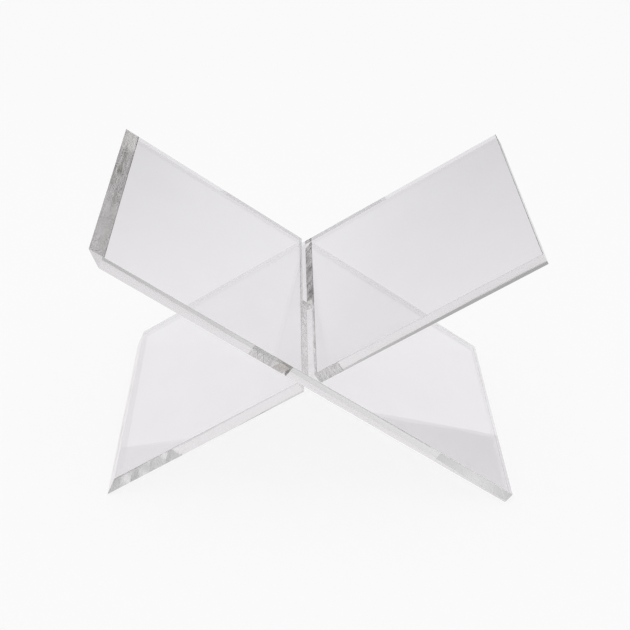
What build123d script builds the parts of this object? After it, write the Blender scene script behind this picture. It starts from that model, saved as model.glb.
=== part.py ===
from build123d import *
import math
import os

# An X-shaped tabletop stand that cradles an open magazine or a book. It is two identical flat
# sheets of clear acrylic. Each has one square end, one mitred end, and a slot that runs half-way
# across it from one long edge. The slots halve into each other, so the sheets cross in an X: the
# upper halves are the wings of the cradle, and the lower halves are the legs.
#
# Millimetres. The origin is on the floor, below the middle of the line where the sheets cross.
# +Z is up, +X is towards the right wing and -Y is the front.

# The panels
panel_length = 406.4  # along the long face, from the square end to the mitred tip
panel_depth = 228.6  # from the front edge to the back edge
sheet_thickness = 10.0
mitre_angle = 35.0  # degrees, between the mitred end and the long face
slot_offset = 2.7  # the slot's middle, from the long face's middle towards the mitred tip
arris = 0.3  # flat taken off the edges of both broad faces

# How they cross
cradle_angle = 112.6  # degrees, between the two wings
slot_play = 0.4  # slot width beyond what the crossing sheet needs at the cradle angle
slot_end_play = 1.0  # gap between the closed ends of the two slots

# The slot must pass a sheet that leans over in it, so it is wider than the sheet is thick.
half_crossing = math.radians(180 - cradle_angle) / 2
slot_width = sheet_thickness / math.tan(half_crossing) + slot_play
slot_length = (panel_depth + slot_end_play) / 2

tip_reach = panel_length / 2 - slot_offset
square_reach = panel_length / 2 + slot_offset
mitre_setback = sheet_thickness / math.tan(math.radians(mitre_angle))

# One panel stands on its square end and the other on its mitred tip, which is nearer the
# crossing. Both touch the floor when the X is turned by a small angle about the crossing.
reach_difference = (square_reach - tip_reach) * math.sin(half_crossing)
reach_sum = (panel_length - 2 * arris) * math.cos(half_crossing) - sheet_thickness * math.sin(half_crossing)
level_turn = math.atan(reach_difference / reach_sum)
left_wing_lean = half_crossing - level_turn
right_wing_lean = half_crossing + level_turn
crossing_height = (square_reach - arris) * math.sin(left_wing_lean) + sheet_thickness / 2 * math.cos(left_wing_lean)

# Each plane runs through the middle of its sheet. X points from the square end to the mitred
# tip, and Z points out of the long face.
crossing = (0, 0, crossing_height)
left_wing_plane = Plane(
    origin=crossing,
    x_dir=(-math.cos(left_wing_lean), 0, math.sin(left_wing_lean)),
    z_dir=(math.sin(left_wing_lean), 0, math.cos(left_wing_lean)),
)
right_wing_plane = Plane(
    origin=crossing,
    x_dir=(-math.cos(right_wing_lean), 0, -math.sin(right_wing_lean)),
    z_dir=(math.sin(right_wing_lean), 0, -math.cos(right_wing_lean)),
)


def make_panel(sheet_plane):
    """One slotted panel, with the middle of its slot on the plane's origin line."""
    side_plane = Plane(origin=sheet_plane.origin, x_dir=sheet_plane.x_dir, z_dir=-sheet_plane.y_dir)
    with BuildPart() as panel:
        # The side outline, with the long face at +Y of this sketch and the short face at -Y
        with BuildSketch(side_plane):
            with BuildLine():
                Polyline(
                    (-square_reach, -sheet_thickness / 2),
                    (tip_reach - mitre_setback, -sheet_thickness / 2),
                    (tip_reach, sheet_thickness / 2),
                    (-square_reach, sheet_thickness / 2),
                    close=True,
                )
            make_face()
        extrude(amount=panel_depth / 2, both=True)

        # The slot, open at one long edge and closed just past the middle of the panel
        with BuildSketch(sheet_plane):
            with Locations((0, (slot_end_play - panel_depth) / 4)):
                Rectangle(slot_width, slot_length)
        extrude(amount=sheet_thickness, both=True, mode=Mode.SUBTRACT)

        # The arrises round both broad faces, slot included
        out_of_sheet = Axis(sheet_plane.origin, sheet_plane.z_dir)
        broad_faces = panel.faces().sort_by(out_of_sheet)
        chamfer(broad_faces[0].edges() + broad_faces[-1].edges(), length=arris)
    return panel


os.makedirs("parts", exist_ok=True)
for node, sheet_plane in {
    "left_wing_panel": left_wing_plane,
    "right_wing_panel": right_wing_plane,
}.items():
    panel = make_panel(sheet_plane)
    panel.part.label = node
    export_step(panel.part, f"parts/{node}.step")
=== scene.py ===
import math

import bmesh
import bpy
from mathutils import Matrix, Vector


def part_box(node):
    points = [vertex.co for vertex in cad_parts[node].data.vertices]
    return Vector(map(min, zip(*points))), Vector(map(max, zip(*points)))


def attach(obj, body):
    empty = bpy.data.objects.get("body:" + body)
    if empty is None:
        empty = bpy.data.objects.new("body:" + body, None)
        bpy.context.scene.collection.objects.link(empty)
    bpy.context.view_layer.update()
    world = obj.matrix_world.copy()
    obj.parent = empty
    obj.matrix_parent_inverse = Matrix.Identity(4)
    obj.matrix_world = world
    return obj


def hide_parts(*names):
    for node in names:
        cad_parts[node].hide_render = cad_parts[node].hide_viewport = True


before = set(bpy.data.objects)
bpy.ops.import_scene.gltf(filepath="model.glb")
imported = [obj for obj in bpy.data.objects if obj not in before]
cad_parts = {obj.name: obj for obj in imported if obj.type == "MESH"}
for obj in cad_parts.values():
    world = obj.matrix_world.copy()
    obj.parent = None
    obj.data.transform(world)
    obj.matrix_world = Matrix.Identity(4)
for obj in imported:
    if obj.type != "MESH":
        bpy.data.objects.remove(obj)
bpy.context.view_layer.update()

MM = 0.001
CLOSE = 0.01 * MM

# The stand's own driving sizes, in metres and radians
PANEL_LENGTH = 406.4 * MM
SHEET = 10.0 * MM
MITRE_ANGLE = math.radians(35.0)
SLOT_OFFSET = 2.7 * MM
CRADLE_ANGLE = math.radians(112.6)
SLOT_PLAY = 0.4 * MM
SLOT_END_PLAY = 1.0 * MM
ARRIS = 0.3 * MM

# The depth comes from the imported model
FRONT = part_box("left_wing_panel")[0].y
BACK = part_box("left_wing_panel")[1].y
PANEL_DEPTH = BACK - FRONT

HALF_CROSSING = (math.pi - CRADLE_ANGLE) / 2
SLOT_WIDTH = SHEET / math.tan(HALF_CROSSING) + SLOT_PLAY
TIP_REACH = PANEL_LENGTH / 2 - SLOT_OFFSET
SQUARE_REACH = PANEL_LENGTH / 2 + SLOT_OFFSET
MITRE_SETBACK = SHEET / math.tan(MITRE_ANGLE)
LEVEL_TURN = math.atan(
    (SQUARE_REACH - TIP_REACH) * math.sin(HALF_CROSSING)
    / ((PANEL_LENGTH - 2 * ARRIS) * math.cos(HALF_CROSSING) - SHEET * math.sin(HALF_CROSSING))
)
LEFT_LEAN = HALF_CROSSING - LEVEL_TURN
RIGHT_LEAN = HALF_CROSSING + LEVEL_TURN
CROSSING_HEIGHT = (SQUARE_REACH - ARRIS) * math.sin(LEFT_LEAN) + SHEET / 2 * math.cos(LEFT_LEAN)


# ---------------------------------------------------------------- shader maths

class Flow:
    """A socket that can be used in sums."""

    def __init__(self, tree, socket):
        self.tree = tree
        self.socket = socket

    def _with(self, operation, other, swapped=False):
        node = self.tree.nodes.new("ShaderNodeMath")
        node.operation = operation
        pair = (other, self) if swapped else (self, other)
        for slot, value in zip(node.inputs, pair):
            if isinstance(value, Flow):
                self.tree.links.new(value.socket, slot)
            else:
                slot.default_value = value
        return Flow(self.tree, node.outputs[0])

    def __add__(self, other):
        return self._with("ADD", other)

    def __radd__(self, other):
        return self._with("ADD", other)

    def __sub__(self, other):
        return self._with("SUBTRACT", other)

    def __rsub__(self, other):
        return self._with("SUBTRACT", other, swapped=True)

    def __mul__(self, other):
        return self._with("MULTIPLY", other)

    def __rmul__(self, other):
        return self._with("MULTIPLY", other)

    def __truediv__(self, other):
        return self._with("DIVIDE", other)


class Finish:
    """A material or world tree that is written out node by node."""

    def __init__(self, owner):
        self.owner = owner
        owner.use_nodes = True
        self.tree = owner.node_tree
        self.tree.nodes.clear()

    def node(self, kind, settings=None, output=0, **values):
        """One node: its settings first, then each socket's value or link; returns an output."""
        node = self.tree.nodes.new(kind)
        for key, value in (settings or {}).items():
            if key == "stops":
                ramp = node.color_ramp
                while len(ramp.elements) > 1:
                    ramp.elements.remove(ramp.elements[-1])
                for i, (place, level) in enumerate(value):
                    stop = ramp.elements[0] if i == 0 else ramp.elements.new(place)
                    stop.position = place
                    stop.color = (level, level, level, 1) if isinstance(level, float) else (*level, 1)
            else:
                setattr(node, key, value)
        for key, value in values.items():
            socket = node.inputs[int(key[1:])] if key[1:].isdigit() else node.inputs[key.replace("_", " ")]
            if isinstance(value, Flow):
                self.tree.links.new(value.socket, socket)
            else:
                socket.default_value = value
        return Flow(self.tree, node.outputs[output])

    def place(self):
        """Where a point is on its panel: X along it, Y across it, Z out of the long face."""
        return self.node("ShaderNodeAttribute", {"attribute_name": "place_on_panel"}, output="Vector")

    def mark_and_shade_strength(self):
        """How strongly the saw marked this panel, and so how much painted shade its dark matt marks add."""
        return self.node("ShaderNodeAttribute", {"attribute_name": "mark_and_shade_strength"}, output="Fac")

    def axis(self, vector, letter):
        """One of the three numbers of a vector."""
        return self.node("ShaderNodeSeparateXYZ", output=letter, _0=vector)

    def stretched(self, place, scale):
        """The place scaled by a different number along each of the panel's axes."""
        return self.node("ShaderNodeMapping", {"vector_type": "POINT"}, _0=place, Scale=scale)

    def grain(self, place, scale, detail=2.0):
        """Soft noise around 0.5."""
        return self.node("ShaderNodeTexNoise", output="Fac", Vector=place, Scale=scale, Detail=detail)

    def ramp(self, fac, *stops):
        return self.node("ShaderNodeValToRGB", {"stops": stops}, output="Color", _0=fac)

    def bump(self, height, distance, strength=1.0):
        return self.node("ShaderNodeBump", output="Normal", Strength=strength, Distance=distance, Height=height)

    def output(self, shader, volume=None):
        kind = "ShaderNodeOutputMaterial" if isinstance(self.owner, bpy.types.Material) else "ShaderNodeOutputWorld"
        end = self.tree.nodes.new(kind)
        self.tree.links.new(shader.socket, end.inputs["Surface"])
        if volume is not None:
            self.tree.links.new(volume.socket, end.inputs["Volume"])


ACRYLIC_IOR = 1.491
DEPTH_TINT = (0.86, 0.84, 0.8, 1)  # what a long way through the sheet leaves of white light
DEPTH_DENSITY = 0.6  # per metre


def acrylic_finish(name):
    return Finish(bpy.data.materials.new(name))


def finish_acrylic(finish, colour, roughness, normal, scuff_and_shade_mask=None, scuff_and_shade_colour=None):
    """Clear acrylic behind a surface with this tint, roughness and relief, and scuffs that scatter light; where
    their matt colour is dark it is painted shade.
    """
    shader = finish.node(
        "ShaderNodeBsdfPrincipled",
        Base_Color=colour,
        Roughness=roughness,
        IOR=ACRYLIC_IOR,
        Transmission_Weight=1.0,
        Normal=normal,
    )
    if scuff_and_shade_mask is not None:
        # Matt layer over the acrylic: real scuff marks, whose dark colour is painted shade
        matt = finish.node(
            "ShaderNodeBsdfPrincipled", Base_Color=scuff_and_shade_colour, Roughness=1.0, Specular_IOR_Level=0.0, Normal=normal
        )
        shader = finish.node("ShaderNodeMixShader", _0=scuff_and_shade_mask, _1=shader, _2=matt)
    depth = finish.node("ShaderNodeVolumeAbsorption", Color=DEPTH_TINT, Density=DEPTH_DENSITY)
    finish.output(shader, depth)
    return finish.owner


def polished_face():
    """The sheet's own cast surface: slightly wavy, with a faint haze and hairline scratches."""
    finish = acrylic_finish("polished_face")
    place = finish.place()
    haze = finish.grain(place, 22.0, 3.0)
    colour = finish.ramp(haze, (0.3, (0.962, 0.955, 0.968)), (0.7, (0.978, 0.972, 0.984)))
    hair = finish.grain(finish.stretched(place, (30, 1400, 30)), 1.0, 1.0)
    scratch = finish.ramp(hair, (0.7, 0.0), (0.74, 1.0))
    roughness = 0.004 + scratch * 0.05
    waves = finish.grain(place, 11.0, 1.0)
    return finish_acrylic(finish, colour, roughness, finish.bump(waves, 0.00003))


def polished_edge():
    """A cut edge, polished clear, with fine lines left along it by the polishing."""
    finish = acrylic_finish("polished_edge")
    place = finish.place()
    lines = finish.grain(finish.stretched(place, (25, 25, 900)), 1.0, 2.0)
    colour = finish.ramp(lines, (0.3, (0.88, 0.875, 0.885)), (0.7, (0.92, 0.917, 0.925)))
    roughness = 0.004 + 0.03 * finish.ramp(lines, (0.45, 0.0), (0.75, 1.0))
    return finish_acrylic(finish, colour, roughness, finish.bump(lines, 0.000004))


def mitred_end():
    """The mitre's sawn face, buffed to a satin, with streaks from the saw, most on the slot's half; the streaks'
    dark olive matt colour is painted shade.
    """
    finish = acrylic_finish("mitred_end")
    place = finish.place()
    fine = finish.grain(finish.stretched(place, (620, 34, 1)), 1.0, 2.0)
    broad = finish.grain(finish.stretched(place, (230, 18, 1)), 1.0, 2.0)
    streaks = fine * 0.5 + broad * 0.5
    across = finish.axis(place, "Y") / PANEL_DEPTH + 0.5
    slot_half = finish.ramp(across, (0.06, 0.3), (0.16, 0.95), (0.54, 1.0), (0.64, 0.12))
    # Painted shade: dark olive matt streaks laid over the saw marks, mostly on the slot's half
    scuff_and_shade_mask = finish.ramp(streaks, (0.38, 0.65), (0.46, 0.2), (0.56, 0.0)) * slot_half * finish.mark_and_shade_strength()
    scuff_and_shade_colour = finish.ramp(broad, (0.4, (0.22, 0.22, 0.13)), (0.6, (0.44, 0.44, 0.36)))
    colour = finish.ramp(streaks, (0.4, (0.86, 0.85, 0.82)), (0.6, (0.97, 0.97, 0.96)))
    roughness = finish.ramp(streaks, (0.35, 0.22), (0.6, 0.08))
    return finish_acrylic(finish, colour, roughness, finish.bump(streaks, 0.00006), scuff_and_shade_mask, scuff_and_shade_colour)


def sawn_slot_wall():
    """The slot's walls, left as the cutter left them: satin, with tool marks, and matt patches whose dark colour is
    painted shade.
    """
    finish = acrylic_finish("sawn_slot_wall")
    place = finish.place()
    marks = finish.grain(finish.stretched(place, (700, 420, 25)), 1.0, 3.0)
    patches = finish.grain(finish.stretched(place, (110, 110, 110)), 1.0, 3.0)
    wear_and_shade = marks * 0.5 + patches * 0.5
    square_side = finish.ramp(finish.axis(place, "X") / SLOT_WIDTH + 0.5, (0.3, 1.0), (0.7, 0.08))
    clear_of_end = finish.ramp(finish.axis(place, "Y") / PANEL_DEPTH + 0.5, (0.48, 1.0), (0.5, 0.12))
    # Painted shade: dark matt patches over the tool marks, on the wall nearer the square end, away from the slot's
    # closed end
    scuffed_and_shaded = finish.ramp(wear_and_shade, (0.4, 0.85), (0.5, 0.25), (0.58, 0.0))
    scuff_and_shade_mask = scuffed_and_shaded * square_side * clear_of_end * finish.mark_and_shade_strength()
    scuff_and_shade_colour = finish.ramp(marks, (0.4, (0.16, 0.15, 0.14)), (0.6, (0.45, 0.44, 0.43)))
    colour = finish.ramp(wear_and_shade, (0.35, (0.86, 0.85, 0.84)), (0.6, (0.97, 0.97, 0.97)))
    roughness = finish.ramp(wear_and_shade, (0.35, 0.4), (0.65, 0.16))
    return finish_acrylic(finish, colour, roughness, finish.bump(marks, 0.00004), scuff_and_shade_mask, scuff_and_shade_colour)


def scraped_arris():
    """The narrow arris round each broad face, scraped by hand and left satin."""
    finish = acrylic_finish("scraped_arris")
    place = finish.place()
    nicks = finish.grain(place, 70.0, 2.0)
    colour = finish.ramp(nicks, (0.35, (0.93, 0.925, 0.93)), (0.65, (0.98, 0.975, 0.98)))
    roughness = finish.ramp(nicks, (0.35, 0.22), (0.65, 0.1))
    return finish_acrylic(finish, colour, roughness, finish.bump(nicks, 0.00003))


FINISHES = (polished_face(), polished_edge(), mitred_end(), sawn_slot_wall(), scraped_arris())
FACE, EDGE, MITRE, SLOT_WALL, RIM = range(len(FINISHES))


# ---------------------------------------------------------------- the panels

def sheet_frame(along, out_of_long_face):
    """The matrix that stands a flat-drawn panel up: X along it, Z out of its long face."""
    across = out_of_long_face.cross(along)
    turn = Matrix((along, across, out_of_long_face)).transposed().to_4x4()
    return Matrix.Translation((0, 0, CROSSING_HEIGHT)) @ turn


def is_broad(face):
    """Whether this is the long or the short face of a panel that still lies flat."""
    return abs(face.normal.z) > 0.99


def slotted_panel(name, place, mark_and_shade_strength):
    """One panel: drawn flat, mitred, given its finishes and arrises, then stood up at its place."""
    bm = bmesh.new()
    low, high, half_slot = -PANEL_DEPTH / 2, PANEL_DEPTH / 2, SLOT_WIDTH / 2
    closed_end = SLOT_END_PLAY / 2
    outline = (
        (-SQUARE_REACH, low), (-half_slot, low), (-half_slot, closed_end), (half_slot, closed_end),
        (half_slot, low), (TIP_REACH, low), (TIP_REACH, high), (-SQUARE_REACH, high),
    )
    short_face = bm.faces.new([bm.verts.new((x, y, -SHEET / 2)) for x, y in outline])
    grown = bmesh.ops.extrude_face_region(bm, geom=[short_face])["geom"]
    bmesh.ops.translate(bm, verts=[v for v in grown if isinstance(v, bmesh.types.BMVert)], vec=(0, 0, SHEET))
    bmesh.ops.recalc_face_normals(bm, faces=bm.faces)

    # Saw the mitre off the tip, and close the cut
    bmesh.ops.bisect_plane(
        bm,
        geom=bm.verts[:] + bm.edges[:] + bm.faces[:],
        plane_co=(TIP_REACH, 0, SHEET / 2),
        plane_no=(math.sin(MITRE_ANGLE), 0, -math.cos(MITRE_ANGLE)),
        clear_outer=True,
        dist=1e-7,
    )
    bmesh.ops.holes_fill(bm, edges=[e for e in bm.edges if e.is_boundary])
    bmesh.ops.recalc_face_normals(bm, faces=bm.faces)

    # Each face gets the finish that its cut left on it
    for face in bm.faces:
        middle = face.calc_center_median()
        in_slot = abs(middle.x) < half_slot + CLOSE and low + CLOSE < middle.y < closed_end + CLOSE
        if is_broad(face):
            face.material_index = FACE
        elif in_slot:
            face.material_index = SLOT_WALL
        elif face.normal.x > 0.3:
            face.material_index = MITRE
        else:
            face.material_index = EDGE

    # A small flat arris round both broad faces
    rims = [e for e in bm.edges if sum(is_broad(f) for f in e.link_faces) == 1]
    scraped = bmesh.ops.bevel(
        bm, geom=rims, offset=ARRIS, offset_type="OFFSET", segments=1, profile=0.5,
        affect="EDGES", material=-1, clamp_overlap=True,
    )
    for face in scraped["faces"]:
        face.material_index = RIM
    place_on_panel = bm.verts.layers.float_vector.new("place_on_panel")
    mark_and_shade_layer = bm.verts.layers.float.new("mark_and_shade_strength")
    for vert in bm.verts:
        vert[place_on_panel] = vert.co
        vert[mark_and_shade_layer] = mark_and_shade_strength
    bmesh.ops.transform(bm, matrix=place, verts=bm.verts)
    mesh = bpy.data.meshes.new(name)
    bm.to_mesh(mesh)
    bm.free()
    for material in FINISHES:
        mesh.materials.append(material)
    piece = bpy.data.objects.new(name, mesh)
    bpy.context.scene.collection.objects.link(piece)
    return piece


# The left panel's saw marks carry the full painted shade, the right panel's only a little
left_panel = slotted_panel(
    "left_wing_sheet",
    sheet_frame(
        Vector((-math.cos(LEFT_LEAN), 0, math.sin(LEFT_LEAN))),
        Vector((math.sin(LEFT_LEAN), 0, math.cos(LEFT_LEAN))),
    ),
    mark_and_shade_strength=1.0,
)
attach(left_panel, "left_wing")
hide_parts("left_wing_panel")

right_panel = slotted_panel(
    "right_wing_sheet",
    sheet_frame(
        Vector((-math.cos(RIGHT_LEAN), 0, -math.sin(RIGHT_LEAN))),
        Vector((math.sin(RIGHT_LEAN), 0, -math.cos(RIGHT_LEAN))),
    ),
    mark_and_shade_strength=0.15,
)
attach(right_panel, "right_wing")
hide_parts("right_wing_panel")


# ---------------------------------------------------------------- floor and light

FLOOR_HALF_WIDTH = 6.0
FLOOR_SEEN = 0.86  # the floor's own glow where it is looked at
FLOOR_AROUND = 0.805  # the same, as the acrylic and the rest of the floor see it
FLOOR_FADE = 0.25  # how much of that is lost for each metre towards the back
FADE_FROM = 0.1
MOST_FADE = 0.3
ROOM_SEEN = 0.95
ROOM_OVERHEAD = 1.1
BACKDROP_BEHIND = 1.74
BACKDROP_HEIGHT = 2.2
BACKDROP_SPAN = 3.0
POOL_LEVEL = 0.82


def level_where_seen(finish, level, seen_level):
    """One level of light for the camera, and another for what the acrylic mirrors and lets through."""
    seen = finish.node("ShaderNodeLightPath", output="Is Camera Ray")
    return seen * seen_level + (1 - seen) * level


def stage_piece(bm, name, finish):
    """Finish a piece of the studio from its bmesh and its finish."""
    mesh = bpy.data.meshes.new(name)
    bm.to_mesh(mesh)
    bm.free()
    mesh.materials.append(finish.owner)
    piece = bpy.data.objects.new(name, mesh)
    bpy.context.scene.collection.objects.link(piece)


def floor():
    """A pale floor that glows by itself a little, less so towards the back."""
    finish = Finish(bpy.data.materials.new("pale_floor"))
    seen = finish.node("ShaderNodeLightPath", output="Is Camera Ray")
    back = finish.axis(finish.node("ShaderNodeTexCoord", output="Object"), "Y")
    fade = finish.node("ShaderNodeClamp", Value=(back - FADE_FROM) * FLOOR_FADE, Min=0.0, Max=MOST_FADE)
    glow = finish.node(
        "ShaderNodeEmission",
        Color=finish.ramp(seen, (0.0, (1, 0.982, 1)), (1.0, (1, 1, 1))),
        Strength=level_where_seen(finish, FLOOR_AROUND - fade, FLOOR_SEEN),
    )
    matt = finish.node("ShaderNodeBsdfDiffuse", Color=(0.12, 0.12, 0.12, 1))
    finish.output(finish.node("ShaderNodeAddShader", _0=glow, _1=matt))
    bm = bmesh.new()
    bmesh.ops.create_grid(bm, x_segments=1, y_segments=1, size=FLOOR_HALF_WIDTH)
    stage_piece(bm, "floor", finish)


def backdrop():
    """A wide paper backdrop, widest where it meets the floor, with a pool of light on it high in the middle."""
    finish = Finish(bpy.data.materials.new("paper_backdrop"))
    place = finish.node("ShaderNodeTexCoord", output="Object")
    height = finish.axis(place, "Z") / BACKDROP_HEIGHT
    across = finish.axis(place, "X") / BACKDROP_SPAN + 0.5
    left = finish.ramp(
        height,
        (0.0, 0.86), (0.11, 0.82), (0.2, 0.79), (0.25, 0.76), (0.28, 0.66), (0.31, 0.54), (0.36, 0.45), (0.6, 0.33),
    )
    right = finish.ramp(height, (0.0, 0.86), (0.2, 0.79), (0.27, 0.71), (0.38, 0.62), (0.6, 0.5))
    rightward = finish.ramp(across, (0.64, 0.0), (0.75, 1.0))
    side = left * (1 - rightward) + right * rightward
    middle = finish.ramp(across, (0.33, 0.0), (0.42, 1.0), (0.58, 1.0), (0.67, 0.0))
    pool = middle * finish.ramp(height, (0.5, 0.0), (0.62, 1.0))
    level = side * (1 - pool) + POOL_LEVEL * pool
    finish.output(finish.node("ShaderNodeEmission", Strength=level_where_seen(finish, level, ROOM_SEEN)))
    outline = (
        (1.68, 0.0), (1.53, 0.2), (1.365, 0.44), (1.33, 0.8), (1.33, BACKDROP_HEIGHT),
        (-1.42, BACKDROP_HEIGHT), (-1.42, 0.8), (-1.46, 0.45), (-1.62, 0.2), (-1.74, 0.0),
    )
    bm = bmesh.new()
    bm.faces.new([bm.verts.new((x, BACKDROP_BEHIND, z)) for x, z in outline])
    stage_piece(bm, "backdrop", finish)


def room():
    """The room round the table, dim at the horizon and light overhead."""
    world = bpy.data.worlds.new("room")
    bpy.context.scene.world = world
    finish = Finish(world)
    direction = finish.node("ShaderNodeTexCoord", output="Generated")
    low = finish.ramp(finish.axis(direction, "X") * 0.5 + 0.5, (0.2, 0.52), (0.8, 0.2))
    up = finish.ramp(finish.axis(direction, "Z"), (0.3, 0.0), (0.85, 1.0))
    level = low * (1 - up) + ROOM_OVERHEAD * up
    finish.output(finish.node("ShaderNodeBackground", Strength=level_where_seen(finish, level, ROOM_SEEN)))


def softbox(name, place, aim, size, power):
    lamp = bpy.data.lights.new(name, "AREA")
    lamp.shape = "SQUARE"
    lamp.size = size
    lamp.energy = power
    holder = bpy.data.objects.new(name, lamp)
    holder.location = place
    holder.rotation_euler = (Vector(aim) - Vector(place)).to_track_quat("-Z", "Y").to_euler()
    bpy.context.scene.collection.objects.link(holder)


floor()
backdrop()
room()
softbox("overhead_softbox", place=(0, 0, 2.2), aim=(0, 0, 0), size=2.0, power=10)


# ---------------------------------------------------------------- camera

VIEW_AZIMUTH = math.radians(-2.61)
VIEW_ELEVATION = math.radians(31.19)
VIEW_ROLL = math.radians(2.82)
VIEW_DISTANCE = 1.0083
VIEW_TARGET = Vector((0.0072, 0, 0.1099))
VIEW_LENS = 66.14

towards_camera = Vector((
    math.sin(VIEW_AZIMUTH) * math.cos(VIEW_ELEVATION),
    -math.cos(VIEW_AZIMUTH) * math.cos(VIEW_ELEVATION),
    math.sin(VIEW_ELEVATION),
))
camera_data = bpy.data.cameras.new("camera")
camera_data.lens = VIEW_LENS
camera_data.sensor_width = 36
camera = bpy.data.objects.new("camera", camera_data)
level_view = towards_camera.to_track_quat("Z", "Y").to_matrix().to_4x4()
camera.matrix_world = (
    Matrix.Translation(VIEW_TARGET + VIEW_DISTANCE * towards_camera)
    @ level_view
    @ Matrix.Rotation(VIEW_ROLL, 4, "Z")
)
bpy.context.scene.collection.objects.link(camera)
bpy.context.scene.camera = camera

scene = bpy.context.scene
scene.view_settings.view_transform = "Standard"
scene.cycles.max_bounces = 48
scene.cycles.glossy_bounces = 32
scene.cycles.transmission_bounces = 32
